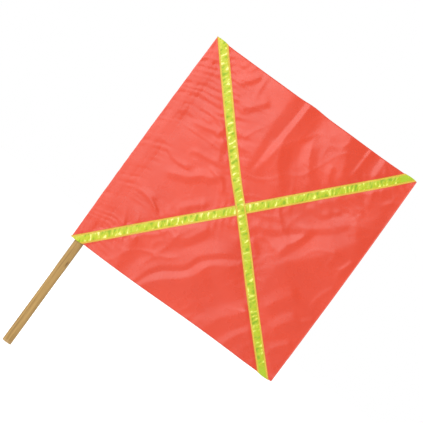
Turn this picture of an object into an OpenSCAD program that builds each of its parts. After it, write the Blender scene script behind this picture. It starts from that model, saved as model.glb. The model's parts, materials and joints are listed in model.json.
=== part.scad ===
// Hand-held warning flag: a square vinyl sheet with crossed reflective tapes, on a wooden staff.
// The staff stands along +Z, the origin is the centre of its lower end, the sheet runs to +X
// and its front faces -Y. All lengths are millimetres.

/* [Staff] */
// Overall length of the wooden dowel
staff_l = 914.4; // [700:0.1:1200]
// Diameter of the dowel inside the pocket
staff_d = 25.4; // [18:0.1:32]
// Diameter of the bare grip below the flag, where the wood is sanded smooth
grip_d = 25; // [17:0.1:31.5]
// Length of the bare grip, from the lower end to the flag
grip_l = 307.8; // [200:0.1:400]
// Easing on the rim of both ends
end_ease = 0.4; // [0.2:0.1:2]

/* [Sheet] */
// Width of the flag from the pocket's fold to the fly edge
flag_w = 609.6; // [450:0.1:760]
// Height of the flag along the staff
flag_h = 609.6; // [450:0.1:760]
// Thickness of the vinyl
sheet_t = 0.5; // [0.3:0.05:1]
// Distance from the staff's axis to the pocket's fold
fold_out = 23.5; // [18:0.1:30]
// Distance from the staff's axis forward to the back face of the sheet
sheet_forward = 12.5; // [6:0.1:12.6]
// Distance from the pocket's fold to the row of stitches that closes it
pocket_w = 50.8; // [46:0.1:70]
// Width of the seam allowance outside those stitches
seam_allowance = 6.3; // [4:0.1:10]
// Slack between the dowel and the vinyl around it
pocket_slack = 0.1; // [0.05:0.05:0.5]

/* [Bend line] */
// Distance from the edge of the seam allowance to the line where the sheet bends
bend_out = 3.2; // [2:0.1:8]
// Distance from the bend line to the rigid panel
panel_out = 1.2; // [0.5:0.1:4]

/* [Reflective tape] */
// Width of each tape
tape_w = 25.4; // [15:0.1:50]
// Thickness of each tape
tape_t = 0.35; // [0.2:0.05:0.8]
// Distance along the top or bottom edge from a corner to the middle of a tape
tape_inset = 20; // [18:0.5:40]
// Distance from a tape's edge to its row of stitches
stitch_inset = 2.4; // [1.5:0.1:5]
// Length over which a tape climbs onto what it crosses
climb = 3; // [1:0.5:8]

/* [Thread and staples] */
// Thickness of the sewing thread
thread_d = 0.4; // [0.2:0.05:0.8]
// Number of staples up the back of the pocket
staple_count = 3; // [2:1:6]
// Distance from the pocket's ends to the first and the last staple
staple_inset = 30; // [15:1:80]
// Width of a staple's crown
staple_crown = 10.6; // [6:0.1:13]
// Depth that a staple's legs reach into the wood
staple_leg = 7; // [4:0.5:10]
// Width of the staple's flat wire
wire_w = 1.27; // [0.8:0.01:1.6]
// Thickness of the staple's flat wire
wire_t = 0.5; // [0.3:0.05:0.8]

/* [Hidden] */

FRONT = -1;
BACK = 1;
fine = 96;

// places along X
fold_x = -fold_out;
seam_x = fold_x + pocket_w;
hem_x = seam_x + seam_allowance;
bend_x = hem_x + bend_out;
panel_x = bend_x + panel_out;
fly_x = fold_x + flag_w;
pocket_tape_x = hem_x - 1;

// heights
flag_z = grip_l;
top_z = flag_z + flag_h;
cross_x = fold_x + flag_w / 2;
cross_z = flag_z + flag_h / 2;

// the vinyl around the dowel: the front layer lies almost flat and the back one takes its thickness
inner_r = staff_d / 2 + pocket_slack;
closing_x = seam_x - 1;
bite = 0.998; // a flat web cuts this little into the round stretch, so that they meet at an edge
seam_corner = [closing_x, -sheet_forward];
fold_corner = [fold_x, -sheet_forward] * inner_r / (inner_r + sheet_t);

// the tapes, from corner to corner
tape_angle = atan2(flag_h, flag_w - 2 * tape_inset);
edge_half = tape_w / 2 / sin(tape_angle);
stitch_shift = tape_w / 2 - stitch_inset;
reach = flag_w;
cross_half = tape_w / 2 / sin(2 * tape_angle) + tape_w / 2 * abs(cos(2 * tape_angle)) + 1;
crossing_lift = tape_t + thread_d + 0.02;
crossing = [[-cross_half, cross_half, crossing_lift]];

// where the tapes cross the pocket's row of stitches, measured from the middle of the flag
seam_cross = (cross_x - seam_x) * tan(tape_angle);
seam_half = edge_half * tan(tape_angle) + 0.5;
seam_steps = [for (m = [-seam_cross, seam_cross]) [m - seam_half, m + seam_half, crossing_lift]];

wood = [0.74, 0.60, 0.40];
vinyl = [0.94, 0.40, 0.30];
lime = [0.82, 0.87, 0.32];
thread_red = [0.80, 0.25, 0.16];
thread_yellow = [0.89, 0.74, 0.30];
steel = [0.75, 0.76, 0.78];

// the side view of a strip that climbs over each step [from, to, lift]
function one_side(steps, h) =
    [for (s = steps) each [[s[0] - climb, h], [s[0], h + s[2]], [s[1], h + s[2]], [s[1] + climb, h]]];

function strip_side(half, base, thick, steps) =
    let (under = concat([[-half, base]], one_side(steps, base), [[half, base]]),
         over = concat([[-half, base + thick]], one_side(steps, base + thick), [[half, base + thick]]),
         n = len(over) - 1)
    concat(under, [for (i = [n:-1:0]) over[i]]);

// a strip on the front or the back of the sheet, turned about [x, z] and shifted across its run
module strip(side, x, z, angle, shift, half, width, base, thick, steps = []) {
    translate([x, -sheet_forward - (side == FRONT ? sheet_t : 0), z])
        rotate([0, -angle, 0])
            translate([0, 0, shift])
                rotate([side == FRONT ? 180 : 0, 0, 0])
                    linear_extrude(width, center = true)
                        polygon(strip_side(half, base, thick, steps));
}

// everything from the bend line to the fly edge, between the flag's lower and upper edges
module panel_space() {
    translate([panel_x, -staff_d, flag_z])
        cube([fly_x - panel_x, 2 * staff_d, flag_h]);
}

module panel_tape(side, angle, steps = []) {
    intersection() {
        strip(side, cross_x, cross_z, angle, 0, reach, tape_w, 0, tape_t, steps);
        panel_space();
    }
}

module panel_thread(side, angle, shift, steps = []) {
    intersection() {
        strip(side, cross_x, cross_z, angle, shift, reach, thread_d, tape_t, thread_d, steps);
        panel_space();
    }
}

// the two points where lines from p touch a circle of radius r about the axis
function touches(p, r) =
    let (a = atan2(p[1], p[0]), b = acos(r / norm(p)))
    [for (t = [a - b, a + b]) r * [cos(t), sin(t)]];

// the outline of the pocket, seen from above, grown outwards from its inner face
module pocket_outline(grow) {
    r = inner_r + grow;
    seam = seam_corner * r / inner_r;
    fold = fold_corner * r / inner_r;
    a = touches(seam, r * bite);
    b = touches(fold, r * bite);
    circle(r, $fn = fine);
    polygon([seam, a[1], b[0], fold, b[1], a[0]]);
    if (grow > 0)
        translate([closing_x, -sheet_forward - grow])
            square([hem_x - closing_x, 2 * grow]);
}

// a layer on the front of the pocket, between two distances from its inner face
module pocket_layer(from, to) {
    intersection() {
        translate([0, 0, flag_z])
            linear_extrude(flag_h)
                difference() {
                    pocket_outline(to);
                    pocket_outline(from);
                }
        translate([-2 * fold_out, -sheet_forward - staff_d, flag_z])
            cube([2 * fold_out + pocket_tape_x, staff_d, flag_h]);
    }
}

// the slanted band that a tape, or a row of stitches, covers when it is seen from the front
module band(direction, shift, width) {
    middle = direction > 0 ? tape_inset : flag_w - tape_inset;
    across = shift / sin(tape_angle);
    half = width / 2 / sin(tape_angle);
    low = fold_x + middle + across;
    high = fold_x + flag_w - middle + across;
    rotate([90, 0, 0])
        linear_extrude(4 * staff_d, center = true)
            polygon([[low - half, flag_z], [low + half, flag_z], [high + half, top_z], [high - half, top_z]]);
}

module pocket_end_tape(direction) {
    color(lime)
        intersection() {
            pocket_layer(sheet_t, sheet_t + tape_t);
            band(direction, 0, tape_w);
        }
}

module pocket_end_thread(direction) {
    color(thread_yellow)
        intersection() {
            pocket_layer(sheet_t + tape_t, sheet_t + tape_t + thread_d);
            union() {
                band(direction, stitch_shift, thread_d);
                band(direction, -stitch_shift, thread_d);
            }
        }
}

module staff_dowel() {
    color(wood)
        rotate_extrude($fn = fine)
            polygon([[0, 0], [grip_d / 2 - end_ease, 0], [grip_d / 2, end_ease],
                     [grip_d / 2, grip_l], [staff_d / 2, grip_l + 2],
                     [staff_d / 2, staff_l - end_ease], [staff_d / 2 - end_ease, staff_l],
                     [0, staff_l]]);
}

module flag_pocket() {
    color(vinyl)
        translate([0, 0, flag_z])
            linear_extrude(flag_h)
                difference() {
                    pocket_outline(sheet_t);
                    pocket_outline(0);
                }
}

module pocket_needle_thread() {
    color(thread_red)
        strip(FRONT, seam_x, cross_z, 90, 0, flag_h / 2, thread_d, 0, thread_d, seam_steps);
}

module pocket_bobbin_thread() {
    color(thread_red)
        strip(BACK, seam_x, cross_z, 90, 0, flag_h / 2, thread_d, sheet_t, thread_d);
}

// one staple on the back of the pocket: its crown lies on the vinyl and its legs enter the wood
module staple() {
    crown_y = inner_r + sheet_t;
    leg_l = crown_y + wire_t - staff_d / 2 + staple_leg;
    translate([-wire_w / 2, crown_y, -staple_crown / 2])
        cube([wire_w, wire_t, staple_crown]);
    for (z = [-staple_crown / 2, staple_crown / 2 - wire_t])
        translate([-wire_w / 2, crown_y + wire_t - leg_l, z])
            cube([wire_w, leg_l, wire_t]);
}

module staples() {
    pitch = (flag_h - 2 * staple_inset) / (staple_count - 1);
    color(steel)
        for (i = [0:staple_count - 1])
            translate([0, 0, flag_z + staple_inset + i * pitch])
                staple();
}

module rising_tape_pocket_end() {
    pocket_end_tape(1);
}

module falling_tape_pocket_end() {
    pocket_end_tape(-1);
}

module rising_pocket_end_thread() {
    pocket_end_thread(1);
}

module falling_pocket_end_thread() {
    pocket_end_thread(-1);
}

module flag_panel() {
    color(vinyl)
        translate([panel_x, -sheet_forward - sheet_t, flag_z])
            cube([fly_x - panel_x, sheet_t, flag_h]);
}

module rising_tape_front() {
    color(lime)
        panel_tape(FRONT, tape_angle);
}

module falling_tape_front() {
    color(lime)
        panel_tape(FRONT, -tape_angle, crossing);
}

module rising_tape_back() {
    color(lime)
        panel_tape(BACK, tape_angle);
}

module falling_tape_back() {
    color(lime)
        panel_tape(BACK, -tape_angle, crossing);
}

module rising_upper_needle_thread() {
    color(thread_yellow)
        panel_thread(FRONT, tape_angle, stitch_shift);
}

module rising_lower_needle_thread() {
    color(thread_yellow)
        panel_thread(FRONT, tape_angle, -stitch_shift);
}

module falling_upper_needle_thread() {
    color(thread_yellow)
        panel_thread(FRONT, -tape_angle, stitch_shift, crossing);
}

module falling_lower_needle_thread() {
    color(thread_yellow)
        panel_thread(FRONT, -tape_angle, -stitch_shift, crossing);
}

module rising_upper_bobbin_thread() {
    color(thread_yellow)
        panel_thread(BACK, tape_angle, stitch_shift);
}

module rising_lower_bobbin_thread() {
    color(thread_yellow)
        panel_thread(BACK, tape_angle, -stitch_shift);
}

module falling_upper_bobbin_thread() {
    color(thread_yellow)
        panel_thread(BACK, -tape_angle, stitch_shift, crossing);
}

module falling_lower_bobbin_thread() {
    color(thread_yellow)
        panel_thread(BACK, -tape_angle, -stitch_shift, crossing);
}

staff_dowel();
flag_pocket();
pocket_needle_thread();
pocket_bobbin_thread();
staples();
rising_tape_pocket_end();
falling_tape_pocket_end();
rising_pocket_end_thread();
falling_pocket_end_thread();
flag_panel();
rising_tape_front();
falling_tape_front();
rising_tape_back();
falling_tape_back();
rising_upper_needle_thread();
rising_lower_needle_thread();
falling_upper_needle_thread();
falling_lower_needle_thread();
rising_upper_bobbin_thread();
rising_lower_bobbin_thread();
falling_upper_bobbin_thread();
falling_lower_bobbin_thread();
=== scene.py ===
# Looks of the hand-held warning flag: a vinyl sheet with crossed reflective tapes on a wooden staff.
# The sheet, the tapes and the stitches all lie on one computed surface, so they stay together.
# Everything is in metres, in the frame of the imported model: +Z up the staff, front towards -Y.
import json
import math

import bpy
import numpy as np
from mathutils import Matrix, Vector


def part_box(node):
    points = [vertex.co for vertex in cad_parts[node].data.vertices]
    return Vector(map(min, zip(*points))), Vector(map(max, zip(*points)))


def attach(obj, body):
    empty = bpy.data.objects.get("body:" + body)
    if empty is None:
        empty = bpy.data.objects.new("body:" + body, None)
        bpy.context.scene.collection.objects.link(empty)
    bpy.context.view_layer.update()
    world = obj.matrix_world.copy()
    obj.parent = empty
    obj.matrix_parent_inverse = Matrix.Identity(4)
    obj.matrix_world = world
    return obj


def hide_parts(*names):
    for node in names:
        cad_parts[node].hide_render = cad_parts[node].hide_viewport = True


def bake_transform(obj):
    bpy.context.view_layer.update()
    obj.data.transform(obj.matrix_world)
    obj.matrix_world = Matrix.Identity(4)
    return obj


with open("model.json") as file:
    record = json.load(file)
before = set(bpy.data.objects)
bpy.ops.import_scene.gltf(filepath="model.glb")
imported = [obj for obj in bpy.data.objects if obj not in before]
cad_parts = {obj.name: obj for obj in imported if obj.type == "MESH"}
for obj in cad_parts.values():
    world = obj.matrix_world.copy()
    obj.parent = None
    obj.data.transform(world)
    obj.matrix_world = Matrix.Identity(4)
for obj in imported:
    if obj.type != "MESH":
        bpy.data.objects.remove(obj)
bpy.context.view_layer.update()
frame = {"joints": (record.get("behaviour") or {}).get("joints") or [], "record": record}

MM = 0.001

# ---------- sizes, read from the frame
DOWEL_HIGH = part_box("staff_dowel")[1]
POCKET_LOW, POCKET_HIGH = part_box("flag_pocket")
PANEL_LOW, PANEL_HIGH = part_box("flag_panel")
TAPE_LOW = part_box("rising_tape_front")[0]
SEAM_LOW, SEAM_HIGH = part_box("pocket_needle_thread")
GRIP_RADIUS = frame["record"]["mounts"][0]["dims"]["r_mm"] * MM

STAFF_RADIUS = DOWEL_HIGH.x
STAFF_TOP = DOWEL_HIGH.z
BOTTOM, TOP = PANEL_LOW.z, PANEL_HIGH.z
HEIGHT = TOP - BOTTOM
MID_Z = (BOTTOM + TOP) / 2
SHEET_T = PANEL_HIGH.y - PANEL_LOW.y
PLANE_Y = (PANEL_LOW.y + PANEL_HIGH.y) / 2
FOLD_X = POCKET_LOW.x
HEM_X = POCKET_HIGH.x
FLY_X = PANEL_HIGH.x
WIDTH = FLY_X - FOLD_X
MID_X = (FOLD_X + FLY_X) / 2
SEAM_X = (SEAM_LOW.x + SEAM_HIGH.x) / 2
THREAD_D = SEAM_HIGH.x - SEAM_LOW.x
TAPE_T = PANEL_LOW.y - TAPE_LOW.y
BEND_X = frame["joints"][0]["pos_m"][0]

# ---------- sizes that the frame doesn't hold
TAPE_W = 25.4 * MM
TAPE_HALF = TAPE_W / 2
TAPE_INSET = 20 * MM         # from the flag's corners to the tapes' middle lines
MARGIN_W = 4.4 * MM          # the plain edge of a tape, outside its loose film
TAPE_GAP = 0.08 * MM         # between the vinyl and the tape
TAPE_SLOPE = math.atan2(HEIGHT, WIDTH - 2 * TAPE_INSET)
TAPE_PLAIN_FROM = HEIGHT / math.sin(TAPE_SLOPE) / 2 - 24 * MM
STITCH_INSET = 2.4 * MM      # from a tape's edge to its row of stitches
STITCH_PITCH = 3.2 * MM
STITCH_GAP = 0.09            # the part of the pitch that each end of a stitch leaves free
ROW_INSET = 1 * MM           # from the flag's edges to the first and last stitch
RISING, FALLING = 1, -1
FRONT, BACK = -1, 1


# ---------- small helpers
def smooth(t):
    t = np.clip(t, 0, 1)
    return t * t * (3 - 2 * t)


def between(t, low, high):
    """0 below low, 1 above high, and a smooth step from one to the other."""
    return smooth((t - low) / (high - low))


def wander(t, seed, pitch):
    """A smooth irregular wave from about -1 to 1 along t, with a random value at every pitch.

    Every wave and patch has a seed of its own, so that changing one leaves the others alone."""
    values = np.random.RandomState(seed).uniform(-1, 1, 512)
    x = np.asarray(t, float) / pitch + 200.0
    i = np.floor(x).astype(int)
    f = smooth(x - i)
    return values[i % 512] * (1 - f) + values[(i + 1) % 512] * f


def between_knots(grid, i, j, f, g):
    """The value of a grid at shares f and g of the way from its knots i, j to the next ones."""
    low = grid[i, j] * (1 - f) + grid[i + 1, j] * f
    high = grid[i, j + 1] * (1 - f) + grid[i + 1, j + 1] * f
    return low * (1 - g) + high * g


def patches(x, z, seed, pitch):
    """A smooth irregular relief from about -1 to 1 over the plane, with bumps about pitch wide."""
    grid = np.random.RandomState(seed).uniform(-1, 1, (64, 64))
    gx, gz = np.asarray(x) / pitch + 20.0, np.asarray(z) / pitch + 20.0
    i, j = np.floor(gx).astype(int), np.floor(gz).astype(int)
    f, g = smooth(gx - i), smooth(gz - j)
    i, j = i % 63, j % 63
    return between_knots(grid, i, j, f, g)


def curve_through(points, steps=8):
    """A smooth curve through given points, as many short straight pieces."""
    p = np.array(points, float)
    p = np.vstack([2 * p[0] - p[1], p, 2 * p[-1] - p[-2]])
    out = []
    for a, b, c, d in zip(p[:-3], p[1:-2], p[2:-1], p[3:]):
        for t in np.arange(steps) / steps:
            out.append(0.5 * ((2 * b) + (c - a) * t + (2 * a - 5 * b + 4 * c - d) * t**2
                              + (3 * b - a - 3 * c + d) * t**3))
    return np.array(out + [p[-2]])


def along_path(x, z, path):
    """Each point's distance from a path, positive on its left, and how far along it is, from 0 to 1."""
    best = np.full(x.shape, 1e9)
    side = np.zeros(x.shape)
    share = np.zeros(x.shape)
    lengths = np.linalg.norm(np.diff(path, axis=0), axis=1)
    before = np.concatenate([[0], np.cumsum(lengths)])
    for (ax, az), (bx, bz), length, start in zip(path[:-1], path[1:], lengths, before):
        tx, tz = (bx - ax) / length, (bz - az) / length
        along = np.clip((x - ax) * tx + (z - az) * tz, 0, length)
        dx, dz = x - ax - along * tx, z - az - along * tz
        distance = np.hypot(dx, dz)
        near = distance < best
        best = np.where(near, distance, best)
        side = np.where(near, np.sign(tx * dz - tz * dx), side)
        share = np.where(near, (start + along) / before[-1], share)
    return best * side, share


# ---------- the run of the tapes
# How far each tape strays towards the fly edge from its straight line, at heights up the flag
STRAY_AT = [0.0, 0.2, 0.4, 0.5, 0.6, 0.8, 1.0]
STRAY = {
    RISING: [-4.5, -3.5, -1.2, -1.0, -1.2, -1.4, 0.0],
    FALLING: [-5.0, -10.5, -10.0, -11.5, -14.5, -10.5, -3.0],
}


def tape_x(direction, z):
    """Where the middle of a tape is at height z, on the whole sheet's plane."""
    v = (np.asarray(z) - BOTTOM) / HEIGHT
    knots = curve_through(list(zip(STRAY_AT, STRAY[direction])))
    stray = np.interp(v, knots[:, 0], knots[:, 1]) * MM
    return MID_X + direction * (v - 0.5) * (WIDTH - 2 * TAPE_INSET) + stray


def tape_place(direction, x, z):
    """Distance from a tape's middle line, positive below it, and distance along the tape."""
    across = (x - tape_x(direction, z)) * math.sin(TAPE_SLOPE)
    along = (x - MID_X) * direction * math.cos(TAPE_SLOPE) + (z - MID_Z) * math.sin(TAPE_SLOPE)
    return across, along


# ---------- the relief of the sheet
def flag_path(points):
    """A smooth path through points given as shares of the flag's width and height."""
    return curve_through([(FOLD_X + u * WIDTH, BOTTOM + v * HEIGHT) for u, v in points])


# Folds pressed into the sheet: height, then the width of the slope on the shaded side and on the lit
# side, all in millimetres, then the fold's path. Every path runs down or towards the staff, so its
# shaded side, away from the lamp, is on its left hand.
FOLDS = [
    # between the tapes, above the crossing
    (3.0, 44, 70, [(0.385, 1.15), (0.388, 0.95), (0.392, 0.80), (0.40, 0.68), (0.41, 0.58)]),
    (3.6, 48, 11, [(0.47, 1.15), (0.468, 0.95), (0.462, 0.85), (0.458, 0.78), (0.45, 0.69),
                   (0.44, 0.62)]),
    (4.8, 44, 84, [(0.65, 1.15), (0.68, 0.98), (0.712, 0.90), (0.745, 0.82), (0.745, 0.74)]),
    (1.5, 16, 6, [(0.778, 1.15), (0.775, 0.97), (0.773, 0.90), (0.766, 0.84)]),
    (2.0, 20, 22, [(0.558, 0.89), (0.592, 0.82), (0.63, 0.765), (0.69, 0.725)]),
    (2.8, 26, 30, [(0.46, 0.83), (0.50, 0.73), (0.54, 0.685), (0.585, 0.625)]),
    (1.2, 12, 12, [(0.68, 0.86), (0.70, 0.80), (0.72, 0.765)]),
    (1.4, 11, 14, [(0.245, 0.985), (0.21, 0.935), (0.17, 0.885)]),
    (1.7, 13, 28, [(0.335, 0.92), (0.285, 0.86), (0.235, 0.80)]),
    (0.9, 8, 8, [(0.17, 1.00), (0.145, 0.95), (0.12, 0.91)]),
    (0.8, 10, 8, [(0.262, 1.12), (0.262, 0.95), (0.275, 0.86)]),
    (2.4, 55, 12, [(0.85, 1.12), (0.848, 0.96), (0.862, 0.90), (0.885, 0.84), (0.905, 0.78)]),
    # on the fly side
    (6.2, 74, 66, [(0.84, 0.77), (0.885, 0.725), (0.925, 0.69), (0.939, 0.651), (0.90, 0.585),
                   (0.836, 0.50), (0.765, 0.42), (0.67, 0.33)]),
    (1.8, 14, 30, [(0.895, 0.72), (0.83, 0.65), (0.765, 0.595), (0.70, 0.55), (0.645, 0.50)]),
    (1.8, 16, 30, [(0.765, 0.62), (0.752, 0.54), (0.725, 0.47), (0.695, 0.40)]),
    (1.1, 8, 10, [(0.592, 0.615), (0.625, 0.565), (0.66, 0.54)]),
    (1.2, 12, 18, [(0.69, 0.525), (0.62, 0.485), (0.55, 0.475)]),
    (0.8, 5, 8, [(0.90, 0.775), (0.84, 0.768), (0.78, 0.765)]),
    (0.7, 5, 7, [(0.915, 0.80), (0.86, 0.80), (0.805, 0.795)]),
    (0.8, 5, 8, [(0.885, 0.745), (0.82, 0.742), (0.755, 0.735)]),
    (2.4, 22, 26, [(0.88, 0.36), (0.84, 0.30), (0.815, 0.255), (0.79, 0.20)]),
    (2.0, 20, 24, [(0.945, 0.275), (0.90, 0.215), (0.865, 0.15)]),
    (1.4, 12, 16, [(0.985, 0.175), (0.945, 0.135), (0.905, 0.09)]),
    (1.2, 10, 14, [(0.80, 0.70), (0.765, 0.665), (0.725, 0.665), (0.69, 0.645)]),
    (1.0, 8, 12, [(0.83, 0.725), (0.79, 0.70), (0.745, 0.705), (0.715, 0.69)]),
    (1.1, 9, 14, [(0.735, 0.475), (0.695, 0.505), (0.645, 0.545), (0.615, 0.56)]),
    (1.0, 9, 16, [(0.70, 0.43), (0.655, 0.455), (0.60, 0.445)]),
    (1.2, 10, 12, [(0.655, 0.375), (0.62, 0.40), (0.585, 0.425)]),
    (0.9, 10, 9, [(0.985, 0.47), (0.955, 0.40), (0.945, 0.33)]),
    (0.9, 9, 9, [(0.985, 0.60), (0.965, 0.545), (0.96, 0.48)]),
    (0.9, 10, 12, [(0.975, 0.88), (0.94, 0.84), (0.90, 0.83)]),
    (1.0, 9, 12, [(0.995, 0.31), (0.955, 0.265), (0.925, 0.255)]),
    # below the crossing
    (2.2, 10, 34, [(0.62, 0.36), (0.571, 0.327), (0.473, 0.242), (0.438, 0.171), (0.358, 0.109),
                   (0.313, 0.029), (0.27, -0.12)]),
    (3.6, 50, 22, [(0.67, 0.325), (0.624, 0.296), (0.527, 0.233), (0.482, 0.144), (0.358, 0.029),
                   (0.27, -0.14)]),
    (2.5, 26, 32, [(0.79, 0.23), (0.735, 0.144), (0.678, 0.073), (0.64, -0.02), (0.58, -0.14)]),
    (1.6, 18, 16, [(0.84, 0.16), (0.80, 0.10), (0.76, 0.03), (0.72, -0.12)]),
    (2.2, 34, 26, [(0.22, 0.19), (0.205, 0.12), (0.21, 0.05), (0.215, -0.12)]),
    (2.0, 18, 30, [(0.435, 0.37), (0.405, 0.30), (0.37, 0.255), (0.305, 0.225)]),
    # on the staff side
    (1.4, 5, 9, [(0.175, 0.802), (0.12, 0.812), (0.075, 0.813)]),
    (1.2, 5, 7, [(0.09, 0.832), (0.045, 0.825), (0.00, 0.812)]),
    (1.7, 6, 9, [(0.205, 0.775), (0.14, 0.773), (0.105, 0.77), (0.08, 0.761), (0.05, 0.745),
                 (0.01, 0.72)]),
    (1.7, 6, 9, [(0.265, 0.718), (0.19, 0.728), (0.142, 0.731), (0.093, 0.734), (0.06, 0.722),
                 (0.00, 0.69)]),
    (1.4, 5, 8, [(0.195, 0.701), (0.14, 0.702), (0.08, 0.703)]),
    (1.8, 6, 10, [(0.30, 0.672), (0.22, 0.682), (0.185, 0.676), (0.13, 0.667), (0.08, 0.676),
                  (0.01, 0.655)]),
    (1.2, 5, 8, [(0.10, 0.611), (0.055, 0.612), (0.015, 0.61)]),
    (2.0, 7, 12, [(0.25, 0.502), (0.154, 0.498), (0.105, 0.517), (0.084, 0.532), (0.005, 0.532)]),
    (2.4, 14, 18, [(0.365, 0.565), (0.313, 0.52), (0.282, 0.508), (0.24, 0.471), (0.185, 0.45),
                   (0.13, 0.43)]),
    (1.8, 8, 10, [(0.395, 0.485), (0.36, 0.535), (0.325, 0.548), (0.275, 0.555)]),
    (1.4, 7, 10, [(0.35, 0.592), (0.26, 0.58), (0.175, 0.573)]),
    (1.7, 6, 10, [(0.20, 0.321), (0.13, 0.324), (0.093, 0.33), (0.03, 0.316)]),
    (2.6, 9, 4.5, [(0.235, 0.273), (0.185, 0.303), (0.15, 0.312), (0.08, 0.32)]),
    (1.4, 12, 16, [(0.38, 0.44), (0.32, 0.385), (0.27, 0.33)]),
    (1.2, 12, 14, [(0.262, 0.69), (0.275, 0.64), (0.31, 0.58)]),
]
FOLD_CREST, FOLD_FOOT = 0.10, 0.14  # how round the crest and the foot are, in slope widths
FOLD_START, FOLD_END = 0.20, 0.24   # the shares of a path over which its fold rises and dies out
MAP_STEP = 1.5 * MM
MAP_EDGE = 12 * MM


def fold_map():
    """The relief of all the folds, worked out once over the whole sheet."""
    x, z = np.meshgrid(np.arange(FOLD_X - MAP_EDGE, FLY_X + MAP_EDGE, MAP_STEP),
                       np.arange(BOTTOM - MAP_EDGE, TOP + MAP_EDGE, MAP_STEP))
    total = np.zeros(x.shape)
    for height, shaded, lit, points in FOLDS:
        path = flag_path(points)
        reach = 2.0 * max(shaded, lit) * MM
        near = ((x > path[:, 0].min() - reach) & (x < path[:, 0].max() + reach)
                & (z > path[:, 1].min() - reach) & (z < path[:, 1].max() + reach))
        distance, share = along_path(x[near], z[near], path)
        t = np.abs(distance) / (np.where(distance > 0, shaded, lit) * MM)
        t = np.sqrt(t**2 + FOLD_CREST**2) - FOLD_CREST
        slope = 0.5 * ((1 - t) + np.sqrt((1 - t) ** 2 + FOLD_FOOT**2))
        ends = between(share, 0, FOLD_START) * between(1 - share, 0, FOLD_END)
        total[near] += height * MM * slope * ends * between(2.0 - t, 0, 0.5)
    return total


FOLD_MAP = fold_map()


def folds(x, z):
    """The height of the folds at a place, read from the map."""
    gx = np.clip((x - FOLD_X + MAP_EDGE) / MAP_STEP, 0, FOLD_MAP.shape[1] - 1.001)
    gz = np.clip((z - BOTTOM + MAP_EDGE) / MAP_STEP, 0, FOLD_MAP.shape[0] - 1.001)
    i, j = np.floor(gx).astype(int), np.floor(gz).astype(int)
    return between_knots(FOLD_MAP.T, i, j, gx - i, gz - j)


PUCKER_DEPTH, PUCKER_FADE = 1.25 * MM, 17 * MM
PUCKER_PITCH, PUCKER_WIDE_PITCH, PUCKER_LEAN = 9 * MM, 16 * MM, 0.35


def puckers(x, z):
    """The gathers that the stitching of each tape draws into the sheet."""
    relief = np.zeros(x.shape)
    for direction, seed in ((RISING, 3), (FALLING, 5)):
        across, along = tape_place(direction, x, z)
        outside = np.maximum(np.abs(across) - TAPE_HALF, 0)
        lean = across * PUCKER_LEAN * np.sign(wander(along, seed + 40, 70 * MM))
        t = along + lean
        wave = wander(t, seed, PUCKER_PITCH) + 0.6 * wander(t, seed + 1, PUCKER_WIDE_PITCH)
        depth = 0.35 + 0.45 * (1 + wander(along, seed + 2, 60 * MM))
        fade = np.exp(-outside / PUCKER_FADE) * (0.35 + 0.65 * between(outside, 0, 5 * MM))
        relief += PUCKER_DEPTH * wave * depth * fade
    return relief


RIPPLE_DEPTH = 1.5 * MM
RIPPLE_PITCH, RIPPLE_FINE_PITCH = 11 * MM, 7 * MM
RIPPLE_REACH, RIPPLE_UPPER = 45 * MM, 55 * MM


def ripples(x, z):
    """The fine creases across the staff that the tight pocket seam leaves beside it."""
    v = (z - BOTTOM) / HEIGHT
    tilt = z + 0.16 * (x - SEAM_X) * wander(z, 21, 90 * MM) - 0.35 * np.minimum(x - SEAM_X, 0)
    tilt = tilt + 3 * MM * patches(x, z, 22, 40 * MM)
    crease = ((1 - np.abs(wander(tilt, 23, RIPPLE_PITCH))) ** 3
              + 0.6 * (1 - np.abs(wander(tilt, 24, RIPPLE_FINE_PITCH))) ** 3)
    upper = between(v, 0.52, 0.66)
    rows = 0.20 + 0.75 * patches(x, z, 25, 34 * MM) + 0.55 * upper * between(1 - v, 0.02, 0.10)
    fade = np.exp(-(np.maximum(x - SEAM_X, 0) / (RIPPLE_REACH + RIPPLE_UPPER * upper)) ** 1.5)
    stood = 0.35 * between(-x, -SEAM_X + 3 * MM, -SEAM_X + 12 * MM)
    return RIPPLE_DEPTH * (stood - crease) * np.maximum(rows, 0) * fade


BILLOW_DEPTH, BILLOW_PITCH = 1.3 * MM, 150 * MM
HOLLOW_DEPTH, HOLLOW_PITCH = 0.6 * MM, 62 * MM
CRUMPLE_DEPTH, CRUMPLE_PITCH, CRUMPLE_FINE_PITCH = 1.1 * MM, 70 * MM, 34 * MM


def billow(x, z):
    """The slow rise and fall of a sheet that was folded for packing."""
    slow = BILLOW_DEPTH * patches(x, z, 31, BILLOW_PITCH) + HOLLOW_DEPTH * patches(x, z, 32, HOLLOW_PITCH)
    lean = 0.6 * (x - z)
    crumple = (1 - np.abs(patches(x + lean, z - lean, 35, CRUMPLE_PITCH))) ** 4
    crumple = crumple + 0.5 * (1 - np.abs(patches(x, z, 36, CRUMPLE_FINE_PITCH))) ** 4
    return slow + CRUMPLE_DEPTH * crumple * np.maximum(0.35 + 0.65 * patches(x, z, 37, 80 * MM), 0)


FLUTTER_DEPTH, FLY_BAND, TOP_BAND = 1.6 * MM, 70 * MM, 60 * MM


def flutter(x, z):
    """The waves of the free edges."""
    fly = between(x, FLY_X - FLY_BAND, FLY_X) * wander(z, 41, 85 * MM)
    up = between(z, TOP - TOP_BAND, TOP) * wander(x, 42, 60 * MM)
    down = between(-z, -BOTTOM - TOP_BAND, -BOTTOM) * wander(x, 43, 70 * MM)
    return FLUTTER_DEPTH * (fly + up + down)


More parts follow.
